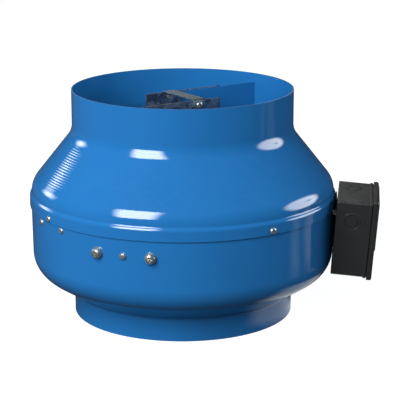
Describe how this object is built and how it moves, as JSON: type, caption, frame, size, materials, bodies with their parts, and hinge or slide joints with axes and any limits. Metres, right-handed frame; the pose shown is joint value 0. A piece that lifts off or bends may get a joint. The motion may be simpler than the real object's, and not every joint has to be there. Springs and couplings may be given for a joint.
{
  "type": "inline duct fan",
  "caption": "Round in-line duct fan: spun blue steel casing with equal spigots, carrier strut, external-rotor motor, backward-curved impeller and side terminal box.",
  "frame": {"origin": "on the fan's axis, in the plane of the inlet rim", "axes": "+Z along the axis, the way the air leaves; +X through the middle of the terminal box"},
  "size_m": [0.3943, 0.3489, 0.255],
  "materials": {
    "blue_paint": "gloss powder-coated blue over spun steel",
    "galvanised_steel": "hot-dip galvanised, faint spangle",
    "zinc_fastener": "bright zinc plate",
    "yellow_zinc": "yellow passivated zinc",
    "cast_aluminium": "die-cast, satin",
    "motor_paint": "black electrophoretic paint",
    "bright_steel": "ground steel",
    "lamination_steel": "stacked laminations",
    "copper_winding": "enamelled copper wire",
    "lead_sheath": "matt cable sheath",
    "black_rubber": "moulded rubber",
    "black_plastic": "fine-textured black plastic",
    "block_plastic": "off-white moulded plastic",
    "capacitor_case": "white film-capacitor case",
    "wire_insulation": "coloured wire insulation"
  },
  "bodies": {
    "casing": {"box_nuts": "zinc_fastener", "box_screws": "zinc_fastener", "box_seal": "black_rubber", "box_spacer": "yellow_zinc", "box_wires": "wire_insulation", "capacitor": "capacitor_case", "capacitor_wires": "wire_insulation", "flange_rivets": "zinc_fastener", "guide_vane_1": "blue_paint", "guide_vane_2": "blue_paint", "inlet_casing": "blue_paint", "inlet_cone": "blue_paint", "lead_grommet": "black_rubber", "lead_saddles": "galvanised_steel", "locating_rivet": "zinc_fastener", "lower_bearing": "bright_steel", "motor_bracket": "galvanised_steel", "motor_flange": "cast_aluminium", "motor_lead": "lead_sheath", "motor_screws": "zinc_fastener", "mounting_inserts": "zinc_fastener", "mounting_screws": "zinc_fastener", "outlet_casing": "blue_paint", "saddle_rivets": "zinc_fastener", "stator_core": "lamination_steel", "stator_windings": "copper_winding", "strap_rivets": "zinc_fastener", "strut_rivets": "zinc_fastener", "support_strut": "galvanised_steel", "terminal_block": "block_plastic", "terminal_box_base": "black_plastic", "terminal_screws": "zinc_fastener", "tie_strap": "galvanised_steel", "upper_bearing": "bright_steel", "vane_rivets": "zinc_fastener"},
    "rotor": {"rotor_bell": "motor_paint", "rotor_core": "lamination_steel", "motor_shaft": "bright_steel", "shaft_circlip": "bright_steel", "impeller_backplate": "galvanised_steel", "impeller_shroud": "galvanised_steel", "impeller_blade_1": "galvanised_steel", "impeller_blade_2": "galvanised_steel", "impeller_blade_3": "galvanised_steel", "impeller_blade_4": "galvanised_steel", "impeller_blade_5": "galvanised_steel", "impeller_blade_6": "galvanised_steel", "impeller_blade_7": "galvanised_steel", "impeller_blade_8": "galvanised_steel", "impeller_rivets": "zinc_fastener", "balance_clips": "bright_steel"},
    "box_lid": {"terminal_box_lid": "black_plastic", "lid_gasket": "black_rubber", "lid_screws": "zinc_fastener"}
  },
  "joints": [
    {"name": "impeller_spin", "type": "hinge", "parent": "casing", "child": "rotor", "pos_m": [0, 0, 0.09], "axis": [0, 0, 1], "continuous": true},
    {"name": "lid_slide", "type": "slide", "parent": "casing", "child": "box_lid", "axis": [0.9973, 0, -0.0732], "range_m": [0, 0.03]}
  ]
}
